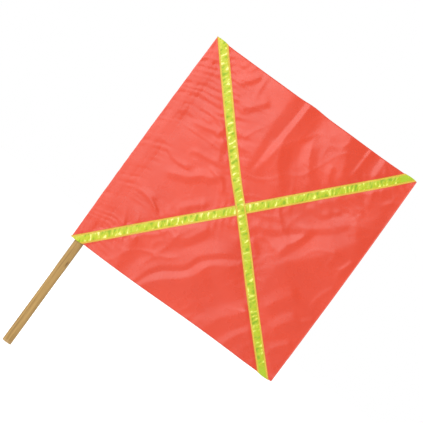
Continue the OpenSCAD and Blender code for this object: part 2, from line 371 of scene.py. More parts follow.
def relief(x, z):
    """How far the sheet's front stands towards the viewer from its flat plane."""
    x, z = np.asarray(x, float), np.asarray(z, float)
    rising, _ = tape_place(RISING, x, z)
    falling, _ = tape_place(FALLING, x, z)
    nearest = np.minimum(np.abs(rising), np.abs(falling))
    free = 0.35 + 0.65 * between(nearest, 10 * MM, 22 * MM)
    broad = billow(x, z) + flutter(x, z)
    away = between(x, BEND_X - 10 * MM, BEND_X + 70 * MM)
    stiff = between(-nearest, -TAPE_HALF - 5 * MM, -TAPE_HALF + 1 * MM)
    large = (broad * away + folds(x, z) * (0.15 + 0.85 * away)) * free
    return large + puckers(x, z) * (1 - 0.4 * stiff) + ripples(x, z) * (1 - 0.8 * stiff)


STAFF_SIDE_BOW, FLY_SIDE_BOW, EDGE_NOTCHES = 2.2 * MM, 2.6 * MM, 0.35 * MM


def drift(x, z):
    """How far the cut sheet strays in its own plane: its edges aren't quite straight."""
    u, v = (x - FOLD_X) / WIDTH, (z - BOTTOM) / HEIGHT
    bow = 4 * v * (1 - v)
    staff_side = between(-x, 6 * MM, -FOLD_X)
    dx = -STAFF_SIDE_BOW * bow * staff_side + FLY_SIDE_BOW * bow * between(u, 0.5, 1.0)
    dx = dx + EDGE_NOTCHES * wander(z, 51, 16 * MM) * staff_side
    peak, corner = np.exp(-((u - 0.49) / 0.05) ** 2), between(u, 0.82, 1.0)
    top_edge = -1.4 * MM + 2.6 * MM * peak + 2.2 * MM * corner
    bottom_edge = -1.6 * MM * np.sin(2 * math.pi * np.clip(u, 0, 0.85) / 0.85 - 0.25)
    past_pocket = between(u, 0.0, 0.10)
    dz = past_pocket * (top_edge * between(v, 0.8, 1.0) + bottom_edge * between(1 - v, 0.8, 1.0))
    return dx, dz


# ---------- the section round the staff
HALF = SHEET_T / 2
FOLD_ROUND = 1.0 * MM
CLOSE_EASE = 1.0 * MM
WRAP_R = STAFF_RADIUS + 0.1 * MM + HALF
CLOSE_X = SEAM_X - 1 * MM


def arc(centre, radius, start, end, count):
    """Points along an arc, from one angle to another, in radians."""
    turn = np.linspace(start, end, count)
    return [centre + radius * np.array([math.cos(a), math.sin(a)]) for a in turn]


def straight(a, b, count):
    """Points strictly between two points."""
    return [a + (b - a) * t for t in np.linspace(0, 1, count + 2)[1:-1]]


def pocket_section(side, web_count, wrap_count):
    """The middle of one layer of the pocket, from its fold to its seam, seen from above.

    It leaves the round fold, lies straight to the staff, follows it and runs straight to the seam.
    The front layer is almost flat."""
    fold = np.array([FOLD_X + HALF + FOLD_ROUND, PLANE_Y + 0.6 * FOLD_ROUND])
    distance = np.linalg.norm(fold)
    heading = math.atan2(-fold[1], -fold[0])
    leave = heading + side * math.acos((FOLD_ROUND - WRAP_R) / distance)
    corner = np.array([CLOSE_X, PLANE_Y + (SHEET_T if side == BACK else 0)])
    meet = math.atan2(corner[1], corner[0]) + side * math.acos(WRAP_R / np.linalg.norm(corner))
    round_fold = arc(fold, FOLD_ROUND, side * math.pi, leave, 5)
    wrap = arc(np.zeros(2), WRAP_R, leave, meet, wrap_count)
    slope = (wrap[-1] - corner) / np.linalg.norm(wrap[-1] - corner)
    before, after = corner + slope * CLOSE_EASE, corner + np.array([CLOSE_EASE, 0])
    closing = [before * (1 - t) ** 2 + corner * 2 * t * (1 - t) + after * t * t
               for t in np.linspace(0, 1, 4)]
    return np.array(round_fold + straight(round_fold[-1], wrap[0], web_count) + wrap
                    + straight(wrap[-1], before, web_count) + closing)


FRONT_SECTION = pocket_section(FRONT, 8, 4)
BACK_SECTION = pocket_section(BACK, 9, 13)


def front_mid(x, z):
    """The middle of the sheet's front layer, for a place on the front of the flag."""
    x, z = np.asarray(x, float), np.asarray(z, float)
    y = np.interp(x, FRONT_SECTION[:, 0], FRONT_SECTION[:, 1], right=PLANE_Y)
    raised = relief(x, z)
    proud = 0.5 * (raised + np.sqrt(raised**2 + (0.25 * MM) ** 2))
    touching = between(-np.abs(x), -10 * MM, -4 * MM)
    out = (raised * (1 - touching) + proud * touching) * between(x, FOLD_X, FOLD_X + 7 * MM)
    dx, dz = drift(x, z)
    return np.stack([x + dx, y - out, z + dz], axis=-1)


def hem_lift(x, z):
    """The hem rises where the end of a back tape lies under it."""
    lift = np.zeros(np.shape(x))
    for direction in (RISING, FALLING):
        across, _ = tape_place(direction, x, z)
        lift = lift + between(-np.abs(across), -TAPE_HALF - 4 * MM, -TAPE_HALF)
    return lift * between(x, SEAM_X, HEM_X - 1 * MM) * TAPE_T * 1.3


def back_mid(x, z):
    """The middle of the back layer: the back of the pocket and the hem that is sewn to the sheet."""
    x, z = np.asarray(x, float), np.asarray(z, float)
    y = np.interp(x, BACK_SECTION[:, 0], BACK_SECTION[:, 1], right=PLANE_Y + SHEET_T)
    rows = wander(z + 2 * MM * patches(x, z, 61, 30 * MM), 62, 7 * MM)
    own = 0.45 * MM * (1 + rows) * (0.6 + 0.4 * wander(z, 63, 55 * MM))
    sewn = between(x, SEAM_X - 7 * MM, SEAM_X - 1 * MM)
    out = own * (1 - sewn) * between(x, FOLD_X, FOLD_X + 7 * MM) - relief(x, z) * sewn
    out = out + 0.06 * MM * sewn + hem_lift(x, z)
    dx, dz = drift(x, z)
    return np.stack([x + dx, y + out, z + dz], axis=-1)


def normals_of(mid, x, z, toward):
    """Unit normals of a surface function, on its front or its back."""
    step = 0.4 * MM
    ax = mid(x + step, z) - mid(x - step, z)
    az = mid(x, z + step) - mid(x, z - step)
    n = np.cross(ax, az)
    n = n / np.linalg.norm(n, axis=-1, keepdims=True)
    return n * np.where(n[..., 1:2] * toward < 0, -1, 1)


def on_panel(toward, x, z, lift):
    """Places on the panel's front or back, lift above the vinyl, and the normals there."""
    n = normals_of(front_mid, x, z, toward)
    return front_mid(x, z) + n * (HALF + lift)[..., None], n


# ---------- meshes
def new_object(name, vertices, faces, material, flat_faces=(), uv=None):
    """A smooth piece of its own, apart from the flat faces."""
    mesh = bpy.data.meshes.new(name)
    mesh.from_pydata(np.asarray(vertices, float).tolist(), [], faces)
    smooth_flags = np.ones(len(mesh.polygons), bool)
    smooth_flags[list(flat_faces)] = False
    mesh.polygons.foreach_set("use_smooth", smooth_flags)
    if uv is not None:
        corners = np.zeros(len(mesh.loops), np.int32)
        mesh.loops.foreach_get("vertex_index", corners)
        layer = mesh.uv_layers.new(name="UVMap")
        layer.data.foreach_set("uv", np.asarray(uv, np.float32)[corners].ravel())
    mesh.materials.append(material)
    mesh.update()
    piece = bpy.data.objects.new(name, mesh)
    bpy.context.scene.collection.objects.link(piece)
    return piece


def tube_faces(rings, sides, start=0):
    """The faces of a tube whose rings of vertices follow one another, and of its two flat ends."""
    faces = []
    last = start + (rings - 1) * sides
    for low in range(start, last, sides):
        for i in range(sides):
            j = (i + 1) % sides
            faces.append((low + i, low + j, low + sides + j, low + sides + i))
    return faces + [tuple(range(start, start + sides))[::-1], tuple(range(last, last + sides))]


def slab(name, outer, inner, material, uv=None):
    """A closed thin solid between two grids of points, with flat cut edges."""
    rows, columns = outer.shape[:2]
    count = rows * columns
    index = np.arange(count).reshape(rows, columns)
    a, b, c, d = index[:-1, :-1], index[1:, :-1], index[1:, 1:], index[:-1, 1:]
    over = np.stack([a, b, c, d], axis=-1).reshape(-1, 4)
    under = np.stack([a, d, c, b], axis=-1).reshape(-1, 4) + count
    loop = np.concatenate([index[0, :-1], index[:-1, -1], index[-1, :0:-1], index[:0:-1, 0]])
    nxt = np.roll(loop, -1)
    rim = np.stack([loop, nxt, nxt + count, loop + count], axis=-1)
    e1, e2 = outer[1, 0] - outer[0, 0], outer[0, 1] - outer[0, 0]
    outward = np.dot(np.cross(e1, e2), outer[0, 0] - inner[0, 0]) > 0
    if not outward:
        over, under, rim = over[:, ::-1], under[:, ::-1], rim[:, ::-1]
    rim = rim[:, ::-1]
    faces = np.concatenate([over, under, rim]).tolist()
    flat = range(len(over) + len(under), len(faces))
    vertices = np.concatenate([outer.reshape(-1, 3), inner.reshape(-1, 3)])
    both = None if uv is None else np.concatenate([uv.reshape(-1, 2)] * 2)
    return new_object(name, vertices, faces, material, flat, both)


def grid_normals(grid):
    """Unit normals of a grid of points, from its neighbours."""
    down = np.gradient(grid, axis=0)
    along = np.gradient(grid, axis=1)
    n = np.cross(down, along)
    return n / np.linalg.norm(n, axis=-1, keepdims=True)


SHEET_ROWS, HEM_COLUMNS, NEAR_COLUMNS, FAR_COLUMNS = 201, 4, 14, 160


def make_sheet(material):
    """The vinyl, one piece: hem, back of the pocket, fold, front of the pocket and panel."""
    seam_end = FRONT_SECTION[-1, 0]
    hem_columns = np.linspace(HEM_X, seam_end + 1 * MM, HEM_COLUMNS)
    near_columns = np.linspace(seam_end, BEND_X + 14 * MM, NEAR_COLUMNS)[1:]
    far_columns = np.linspace(near_columns[-1], FLY_X, FAR_COLUMNS)[1:]
    heights = np.linspace(BOTTOM, TOP, SHEET_ROWS)
    back_x = np.concatenate([hem_columns, BACK_SECTION[::-1, 0]])
    front_x = np.concatenate([FRONT_SECTION[1:, 0], near_columns, far_columns])
    bx, bz = np.meshgrid(back_x, heights)
    fx, fz = np.meshgrid(front_x, heights)
    mid = np.concatenate([back_mid(bx, bz), front_mid(fx, fz)], axis=1)
    n = grid_normals(mid)
    towards_front = n[0, -1, 1] < 0
    n = n if towards_front else -n
    steps = np.linalg.norm(np.diff(mid[0], axis=0), axis=-1)
    s = np.concatenate([[0], np.cumsum(steps)])
    uv = np.stack(np.meshgrid(s, heights), axis=-1)
    return slab("vinyl_sheet", mid + n * HALF, mid - n * HALF, material, uv), float(s[-1])


TAPE_COLUMNS, TAPE_ROWS = 21, 561
FILM_HALF = TAPE_HALF - MARGIN_W
PILLOW_PITCH = 10.5 * MM
PILLOW_RISE, PILLOW_SWELL, PILLOW_CREASE = 0.28 * MM, 0.75, 0.22
CUT_PAST, CUT_ROUND = 2.2 * MM, 1.2 * MM
EDGE_SINK, ROW_SINK, ROW_SCALLOP = 0.10 * MM, 0.10 * MM, 0.12 * MM
EDGE_BAND, ROW_BAND, LOOSE_BAND = 1.2 * MM, 0.9 * MM, 6 * MM


def pillows(across, along, seed):
    """The loose top film of a tape, blown up between its two rows of stitches and creased across."""
    crown = np.sqrt(np.clip(1 - (across / FILM_HALF) ** 2, 0, 1))
    skew = wander(along, seed + 5, 45 * MM) * 0.9 * across + 1.6 * MM * np.sin(across / (4.2 * MM))
    t = (along + skew) / PILLOW_PITCH + 1.1 * wander(along + skew, seed, 26 * MM)
    cell = np.abs(np.sin(math.pi * t)) ** 0.75
    strength = 0.55 + 0.45 * wander(along, seed + 1, 38 * MM)
    small = 0.5 * wander(along + 1.5 * skew, seed + 2, 3.2 * MM)
    small = small * (0.5 + 0.5 * wander(along, seed + 3, 30 * MM))
    return crown * (PILLOW_RISE + MM * strength * (PILLOW_SWELL * cell + PILLOW_CREASE * small))


def tape_ends(direction, b, tuck_x):
    """The lowest and highest place of a tape, for each distance b from its middle line.

    It is cut off just past the flag's edges. A back tape stops where it is tucked under the hem."""
    over = CUT_PAST - CUT_ROUND * (1 - np.cos(math.pi * b / TAPE_W))
    low, high = BOTTOM - over, TOP + over
    if tuck_x is None:
        return low, high
    z = np.linspace(BOTTOM, TOP, 400)
    x = tape_x(direction, z)
    if direction == RISING:
        return np.interp(tuck_x - b / math.sin(TAPE_SLOPE), x, z), high
    return low, np.interp(tuck_x - b / math.sin(TAPE_SLOPE), x[::-1], z[::-1])


def crossing_lift(direction, x, z):
    """The falling tape lies over the rising one, and climbs on and off it."""
    if direction == RISING:
        return np.zeros(x.shape)
    across, _ = tape_place(RISING, x, z)
    return (TAPE_T + 0.9 * MM) * between(-np.abs(across), -TAPE_HALF - 4 * MM, -TAPE_HALF + 2 * MM)


def make_tape(name, direction, toward, tuck_x, material, seed):
    """One tape on the front or the back of the sheet."""
    columns = np.linspace(-TAPE_HALF, TAPE_HALF, TAPE_COLUMNS)
    low, high = tape_ends(direction, columns, tuck_x)
    b, share = np.meshgrid(columns, np.linspace(0, 1, TAPE_ROWS))
    z = low + (high - low) * share
    x = tape_x(direction, z) + b / math.sin(TAPE_SLOPE)
    _, along = tape_place(direction, x, z)
    edge = between(np.abs(b), TAPE_HALF - EDGE_BAND, TAPE_HALF)
    scallop = ROW_SCALLOP * np.abs(np.sin(math.pi * along / STITCH_PITCH)) - ROW_SINK
    at_row = np.exp(-((np.abs(b) - TAPE_HALF + STITCH_INSET) / ROW_BAND) ** 2)
    loose = between(TAPE_PLAIN_FROM - along * direction, 0, LOOSE_BAND)
    lift = pillows(b, along, seed) * (0.15 + 0.85 * loose) - EDGE_SINK * edge + scallop * at_row
    base = TAPE_GAP + crossing_lift(direction, x, z)
    inside, _ = on_panel(toward, x, z, base)
    outside, _ = on_panel(toward, x, z, base + TAPE_T + lift)
    uv = np.stack([along * direction, b], axis=-1)
    return slab(name, outside, inside, material, uv)


# ---------- stitches
STITCH_SIDES = 6
# Along a stitch: the share of its length, its height and its thickness, both in thread diameters
STITCH_STATIONS = [(0.0, -0.55, 0.55), (0.12, 0.25, 0.95), (0.5, 0.52, 1.0),
                   (0.88, 0.25, 0.95), (1.0, -0.55, 0.55)]


def stitches(name, points, normals, material):
    """A row of separate stitches between points. Each comes up, lies on the cloth and goes down."""
    starts = points[:-1] * (1 - STITCH_GAP) + points[1:] * STITCH_GAP
    ends = points[:-1] * STITCH_GAP + points[1:] * (1 - STITCH_GAP)
    tangent = ends - starts
    tangent = tangent / np.linalg.norm(tangent, axis=-1, keepdims=True)
    side = np.cross(tangent, normals)
    side = side / np.linalg.norm(side, axis=-1, keepdims=True)
    up = np.cross(side, tangent)
    up = up * np.where(np.sum(up * normals, axis=-1, keepdims=True) < 0, -1, 1)
    rings = []
    angles = np.arange(STITCH_SIDES) * 2 * math.pi / STITCH_SIDES
    for t, height, fat in STITCH_STATIONS:
        centre = starts + (ends - starts) * t + normals * height * THREAD_D
        r = THREAD_D / 2 * fat
        ring = (centre[:, None] + side[:, None] * np.cos(angles)[None, :, None] * r
                + up[:, None] * np.sin(angles)[None, :, None] * r)
        rings.append(ring)
    vertices = np.stack(rings, axis=1).reshape(-1, 3)
    turned = np.dot(np.cross(side[0], up[0]), tangent[0]) < 0
    faces = []
    for m in range(len(starts)):
        faces += tube_faces(len(rings), STITCH_SIDES, m * len(rings) * STITCH_SIDES)
    if turned:
        faces = [f[::-1] for f in faces]
    return new_object(name, vertices, faces, material)


def row_points(direction, shift, low, high):
    """The ends of the stitches of one row beside a tape's edge, as places on the flag."""
    zs = np.linspace(low, high, 4000)
    xs = tape_x(direction, zs) + shift / math.sin(TAPE_SLOPE)
    length = np.concatenate([[0], np.cumsum(np.hypot(np.diff(xs), np.diff(zs)))])
    count = int(length[-1] / STITCH_PITCH)
    marks = np.linspace(0, length[-1], count + 1)
    return np.interp(marks, length, xs), np.interp(marks, length, zs)


def tape_row(name, direction, shift, toward, low_x, material):
    """One row of stitches on a tape, from low_x towards the fly."""
    x, z = row_points(direction, shift, BOTTOM + ROW_INSET, TOP - ROW_INSET)
    keep = x >= low_x
    x, z = x[keep], z[keep]
    points, n = on_panel(toward, x, z, TAPE_GAP + TAPE_T + crossing_lift(direction, x, z))
    return stitches(name, points, (n[:-1] + n[1:]) / 2, material)


def seam_row(name, mid, toward, material):
    """The row of stitches that closes the pocket. In front it passes over the tapes."""
    count = int(HEIGHT / STITCH_PITCH)
    z = np.linspace(BOTTOM + ROW_INSET, TOP - ROW_INSET, count + 1)
    x = np.full(z.shape, SEAM_X)
    base = np.zeros(z.shape)
    if toward == FRONT:
        for direction in (RISING, FALLING):
            across, _ = tape_place(direction, x, z)
            on_tape = between(-np.abs(across), -TAPE_HALF - 1.5 * MM, -TAPE_HALF + 1 * MM)
            base = base + (TAPE_T + 0.25 * MM) * on_tape
    n = normals_of(mid, x, z, toward)
    points = mid(x, z) + n * (HALF + base)[:, None]
    return stitches(name, points, n[:-1], material)


# ---------- staff and staples
DOWEL_SIDES, DOWEL_RINGS, RIM_RINGS = 72, 230, 5
RIM_ROUND = 0.9 * MM
WORN, RIDGE = 0.06 * MM, 0.05 * MM  # what wear takes off, and how far the wood's ridges stand


def make_dowel(material):
    """The turned staff, with eased rims, a sanded grip and the faint flats and ridges of real wood."""
    sides, rim = DOWEL_SIDES, RIM_ROUND
    turn = np.linspace(0, math.pi / 2, RIM_RINGS)
    rise, swell = rim * (1 - np.cos(turn)), rim * (np.sin(turn) - 1)
    body = np.linspace(rim + 2 * MM, STAFF_TOP - rim - 2 * MM, DOWEL_RINGS)
    grown = (STAFF_RADIUS - GRIP_RADIUS) * between(body, BOTTOM, BOTTOM + 2 * MM)
    heights = np.concatenate([rise, body, STAFF_TOP - rise[::-1]])
    radii = np.concatenate([GRIP_RADIUS + swell, GRIP_RADIUS + grown, STAFF_RADIUS + swell[::-1]])
    angle = np.arange(sides) * 2 * math.pi / sides
    vertices, faces = [(0, 0, 0)], []
    for z, r in zip(heights, radii):
        ridge = RIDGE * (wander(angle * GRIP_RADIUS, 71, 1.6 * MM) + wander(z, 72, 60 * MM))
        radius = r - WORN + ridge * min(r / GRIP_RADIUS, 1)
        vertices += [(w * math.cos(a), w * math.sin(a), z) for a, w in zip(angle, radius)]
    vertices.append((0, 0, STAFF_TOP))
    rings = len(heights)
    last = len(vertices) - 1
    for i in range(sides):
        j = (i + 1) % sides
        faces.append((0, 1 + j, 1 + i))
        faces.append((last, 1 + (rings - 1) * sides + i, 1 + (rings - 1) * sides + j))
        for k in range(rings - 1):
            low, high = 1 + k * sides, 1 + (k + 1) * sides
            faces.append((low + i, low + j, high + j, high + i))
    return new_object("wooden_staff", vertices, faces, material)


STAPLES = 3
STAPLE_CROWN, STAPLE_WIRE_T, STAPLE_BEND = 10.6 * MM, 0.5 * MM, 0.9 * MM
# The section of the flat wire, in half widths and half thicknesses
STAPLE_SECTION = [(-1, -0.6), (-0.8, -1), (0.8, -1), (1, -0.6), (1, 0.6), (0.8, 1), (-0.8, 1), (-1, 0.6)]


def make_staples(material):
    """The staples on the back of the pocket, bent from flat wire with round corners."""
    low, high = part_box("staples")
    crown, bend, wire_t = STAPLE_CROWN, STAPLE_BEND, STAPLE_WIRE_T
    wire_w = high.x - low.x
    first, last = low.z + crown / 2, high.z - crown / 2
    vertices, faces = [], []
    for n in range(STAPLES):
        z0 = first + (last - first) * n / (STAPLES - 1)
        path = [(low.y, -crown / 2 + wire_t / 2)]
        y_top = high.y - wire_t / 2
        for a in np.linspace(0, math.pi / 2, 6):
            path.append((y_top - bend * (1 - math.sin(a)),
                         -crown / 2 + wire_t / 2 + bend * (1 - math.cos(a))))
        path += [(y, -z) for y, z in path[::-1]]
        path = np.array(path)
        tangent = np.gradient(path, axis=0)
        tangent /= np.linalg.norm(tangent, axis=1, keepdims=True)
        base = len(vertices)
        for (y, z), (ty, tz) in zip(path, tangent):
            for across, depth in STAPLE_SECTION:
                w = depth * wire_t / 2
                vertices.append((across * wire_w / 2, y - tz * w, z0 + z + ty * w))
        faces += [f[::-1] for f in tube_faces(len(path), len(STAPLE_SECTION), base)]
    return new_object("staple_wire", vertices, faces, material)


# ---------- materials
def material(name, specular=0.5):
    """A new material with one shader, to be linked up."""
    m = bpy.data.materials.new(name)
    m.use_nodes = True
    tree = m.node_tree
    tree.nodes.clear()
    out = tree.nodes.new("ShaderNodeOutputMaterial")
    shader = tree.nodes.new("ShaderNodeBsdfPrincipled")
    tree.links.new(shader.outputs[0], out.inputs[0])
    shader.inputs["Specular IOR Level"].default_value = specular
    return m, tree, shader


def node(tree, kind, **values):
    n = tree.nodes.new(kind)
    for key, value in values.items():
        if key in n.inputs:
            n.inputs[key].default_value = value
        else:
            setattr(n, key, value)
    return n


def link(tree, a, b):
    tree.links.new(a, b)


def noise(tree, coordinate, scale, detail=2.0, rough=0.5):
    n = node(tree, "ShaderNodeTexNoise")
    n.inputs["Scale"].default_value = scale
    n.inputs["Detail"].default_value = detail
    n.inputs["Roughness"].default_value = rough
    link(tree, coordinate, n.inputs["Vector"])
    return n.outputs["Fac"]


def stretched(tree, coordinate, scale):
    n = node(tree, "ShaderNodeMapping")
    n.inputs["Scale"].default_value = scale
    link(tree, coordinate, n.inputs["Vector"])
    return n.outputs[0]


def ramp(tree, value, stops):
    n = node(tree, "ShaderNodeValToRGB")
    elements = n.color_ramp.elements
    while len(elements) > 2:
        elements.remove(elements[-1])
    for i, (at, colour) in enumerate(stops):
        e = elements[i] if i < 2 else elements.new(at)
        e.position = at
        e.color = (*colour, 1)
    link(tree, value, n.inputs[0])
    return n.outputs[0]


def to_range(tree, value, low, high, to_low, to_high):
    n = node(tree, "ShaderNodeMapRange")
    for key, v in zip(("From Min", "From Max", "To Min", "To Max"), (low, high, to_low, to_high)):
        n.inputs[key].default_value = v
    link(tree, value, n.inputs["Value"])
    return n.outputs[0]


def calc(tree, kind, *values):
    n = node(tree, "ShaderNodeMath", operation=kind)
    for socket, v in zip(n.inputs, values):
        if isinstance(v, (int, float)):
            socket.default_value = v
        else:
            link(tree, v, socket)
    return n.outputs[0]


def mix_colour(tree, factor, a, b, kind="MIX"):
    n = node(tree, "ShaderNodeMix", data_type="RGBA", blend_type=kind)
    for slot_in, v in ((n.inputs[0], factor), (n.inputs[6], a), (n.inputs[7], b)):
        if isinstance(v, (int, float)):
            slot_in.default_value = v
        elif isinstance(v, tuple):
            slot_in.default_value = (*v, 1)
        else:
            link(tree, v, slot_in)
    return n.outputs[2]


def bump(tree, shader, height, distance, strength):
    n = node(tree, "ShaderNodeBump")
    n.inputs["Strength"].default_value = strength
    n.inputs["Distance"].default_value = distance
    link(tree, height, n.inputs["Height"])
    link(tree, n.outputs[0], shader.inputs["Normal"])


def place_of(tree):
    return node(tree, "ShaderNodeTexCoord").outputs["Object"]


def split_of(tree, vector):
    n = node(tree, "ShaderNodeSeparateXYZ")
    link(tree, vector, n.inputs[0])
    return n.outputs


SCRIM_PITCH = 0.9 * MM
PRISM_PITCH, PRISM_SLANT = 3.0 * MM, 0.62
KNOT_AT = (0.008, -0.0105, 0.244)

# Colours, in linear light
VINYL_DEEP, VINYL_LIGHT, VINYL_SPECK = (0.42, 0.025, 0.004), (0.455, 0.0295, 0.0055), (0.38, 0.02, 0.004)
# the tape's two darkest limes are painted shade, and its glint is a painted highlight
LIME_PAINTED_SHADE, LIME_PAINTED_HALF_SHADE = (0.17, 0.27, 0.001), (0.30, 0.36, 0.004)
LIME, LIME_PAINTED_HIGHLIGHT = (0.36, 0.385, 0.012), (0.64, 0.66, 0.20)
LIME_PLAIN, LIME_LINE = (0.24, 0.33, 0.004), (0.36, 0.44, 0.015)
TINT_STAFF_SIDE, TINT_FLY_SIDE = (1.0, 0.96, 1.0), (0.86, 0.90, 0.55)
MARGIN_DEEP, MARGIN_LIGHT = (0.39, 0.245, 0.012), (0.44, 0.305, 0.02)
WOOD_DARK, WOOD_MID, WOOD_LIGHT = (0.165, 0.098, 0.036), (0.285, 0.176, 0.062), (0.37, 0.238, 0.092)
WOOD_PORE, WOOD_KNOT, WOOD_PALE_END = (0.12, 0.062, 0.022), (0.08, 0.04, 0.016), (0.42, 0.30, 0.16)
STEEL_DARK, STEEL_LIGHT = (0.50, 0.50, 0.51), (0.68, 0.68, 0.70)


def vinyl_material():
    m, tree, shader = material("vinyl", 0.42)
    place = place_of(tree)
    shade = noise(tree, place, 9.0, 3.0)
    speck = noise(tree, place, 260.0, 2.0)
    base = ramp(tree, shade, [(0.30, VINYL_DEEP), (0.70, VINYL_LIGHT)])
    mottled = mix_colour(tree, to_range(tree, speck, 0.3, 0.7, 0.0, 0.10), base, VINYL_SPECK)
    link(tree, mottled, shader.inputs["Base Color"])
    gloss = noise(tree, place, 30.0, 3.0)
    link(tree, to_range(tree, gloss, 0.3, 0.7, 0.24, 0.33), shader.inputs["Roughness"])
    # the weave of the cloth inside the vinyl shows as a very fine grid
    uv = split_of(tree, node(tree, "ShaderNodeUVMap").outputs[0])
    turns = 2 * math.pi / SCRIM_PITCH
    warp = calc(tree, "SINE", calc(tree, "MULTIPLY", uv[0], turns))
    weft = calc(tree, "SINE", calc(tree, "MULTIPLY", uv[1], turns))
    scrim = calc(tree, "ADD", calc(tree, "MULTIPLY", warp, 0.5), calc(tree, "MULTIPLY", weft, 0.5))
    grain = noise(tree, place, 700.0, 2.0)
    height = calc(tree, "ADD", calc(tree, "MULTIPLY", scrim, 0.25), grain)
    bump(tree, shader, height, 0.02 * MM, 0.5)
    return m


def tape_material():
    m, tree, shader = material("reflective_tape", 0.30)
    place = place_of(tree)
    uv = split_of(tree, node(tree, "ShaderNodeUVMap").outputs[0])
    along, across = uv[0], uv[1]
    off = calc(tree, "ABSOLUTE", across)
    margin = to_range(tree, off, FILM_HALF - 0.5 * MM, FILM_HALF + 0.5 * MM, 0.0, 1.0)
    # the prism cells: two families of slanted lines
    cell = []
    for way in (1, -1):
        slant = calc(tree, "ADD", calc(tree, "MULTIPLY", across, way * PRISM_SLANT), along)
        wave = calc(tree, "SINE", calc(tree, "MULTIPLY", slant, 2 * math.pi / PRISM_PITCH))
        cell.append(calc(tree, "ABSOLUTE", wave))
    prism = calc(tree, "MINIMUM", cell[0], cell[1])
    shade = noise(tree, place, 30.0, 2.0)
    # slanted spots of painted shade and painted highlight on the film, standing in for light on its
    # puckers
    run = node(tree, "ShaderNodeCombineXYZ")
    link(tree, calc(tree, "ADD", along, calc(tree, "MULTIPLY", across, 0.35)), run.inputs[0])
    link(tree, calc(tree, "MULTIPLY", across, 0.40), run.inputs[1])
    painted_spots = noise(tree, run.outputs[0], 105.0, 2.5, 0.55)
    lime = ramp(tree, painted_spots, [(0.37, LIME_PAINTED_SHADE), (0.45, LIME_PAINTED_HALF_SHADE), (0.56, LIME), (0.66, LIME_PAINTED_HIGHLIGHT)])
    # the arms on the staff's side are a little yellower
    side = to_range(tree, along, -0.10, 0.25, 0.0, 1.0)
    tint = ramp(tree, side, [(0.0, TINT_STAFF_SIDE), (1.0, TINT_FLY_SIDE)])
    lime = mix_colour(tree, 1.0, lime, tint, "MULTIPLY")
    # the end at the fly is plain, without loose film
    plain = to_range(tree, along, TAPE_PLAIN_FROM - 3 * MM, TAPE_PLAIN_FROM + 1 * MM, 0.0, 0.9)
    lime = mix_colour(tree, plain, lime, LIME_PLAIN)
    lined = mix_colour(tree, to_range(tree, prism, 0.0, 0.35, 0.25, 0.0), lime, LIME_LINE)
    edge = ramp(tree, shade, [(0.3, MARGIN_DEEP), (0.7, MARGIN_LIGHT)])
    link(tree, mix_colour(tree, margin, lined, edge), shader.inputs["Base Color"])
    dull_margin = to_range(tree, margin, 0, 1, 0.24, 0.42)
    dull_spots = to_range(tree, painted_spots, 0.36, 0.52, 0.55, 0.24)
    link(tree, calc(tree, "MAXIMUM", dull_margin, dull_spots), shader.inputs["Roughness"])
    height = calc(tree, "MULTIPLY", calc(tree, "SUBTRACT", 1.0, margin), prism)
    bump(tree, shader, height, 0.10 * MM, 0.4)
    return m


def thread_material(name, dark, light):
    m, tree, shader = material(name)
    place = place_of(tree)
    twist = node(tree, "ShaderNodeTexWave", wave_type="BANDS", bands_direction="DIAGONAL")
    twist.inputs["Scale"].default_value = 900.0
    twist.inputs["Distortion"].default_value = 1.0
    link(tree, place, twist.inputs["Vector"])
    link(tree, ramp(tree, twist.outputs["Fac"], [(0.1, dark), (0.8, light)]), shader.inputs["Base Color"])
    link(tree, to_range(tree, noise(tree, place, 400.0), 0.3, 0.7, 0.5, 0.7), shader.inputs["Roughness"])
    shader.inputs["Sheen Weight"].default_value = 0.3
    bump(tree, shader, twist.outputs["Fac"], 0.08 * MM, 0.6)
    return m


def wood_material():
    m, tree, shader = material("wood", 0.10)
    place = place_of(tree)
    long_grain = noise(tree, stretched(tree, place, (1.0, 1.0, 0.03)), 320.0, 4.0, 0.6)
    broad = noise(tree, stretched(tree, place, (1.0, 1.0, 0.05)), 90.0, 2.0)
    pores = noise(tree, stretched(tree, place, (1.0, 1.0, 0.045)), 1100.0, 2.0, 0.7)
    tone = calc(tree, "ADD", calc(tree, "MULTIPLY", long_grain, 0.6), calc(tree, "MULTIPLY", broad, 0.4))
    wood = ramp(tree, tone, [(0.32, WOOD_DARK), (0.50, WOOD_MID), (0.70, WOOD_LIGHT)])
    dashes = to_range(tree, pores, 0.64, 0.74, 0.0, 0.55)
    wood = mix_colour(tree, dashes, wood, WOOD_PORE)
    # a small dark knot on the side towards the fly
    knot = node(tree, "ShaderNodeVectorMath", operation="SUBTRACT")
    knot.inputs[1].default_value = KNOT_AT
    link(tree, place, knot.inputs[0])
    squeeze = stretched(tree, knot.outputs[0], (1.0, 1.0, 0.28))
    reach = node(tree, "ShaderNodeVectorMath", operation="LENGTH")
    link(tree, squeeze, reach.inputs[0])
    mark = to_range(tree, reach.outputs["Value"], 0.0010, 0.0034, 0.75, 0.0)
    wood = mix_colour(tree, mark, wood, WOOD_KNOT)
    # the wood is paler towards its lower end
    low_end = to_range(tree, split_of(tree, place)[2], 0.0002, 0.0095, 0.45, 0.0)
    wood = mix_colour(tree, low_end, wood, WOOD_PALE_END)
    link(tree, wood, shader.inputs["Base Color"])
    link(tree, to_range(tree, long_grain, 0.3, 0.7, 0.52, 0.66), shader.inputs["Roughness"])
    height = calc(tree, "SUBTRACT", long_grain, calc(tree, "MULTIPLY", dashes, 1.2))
    bump(tree, shader, height, 0.12 * MM, 0.6)
    return m


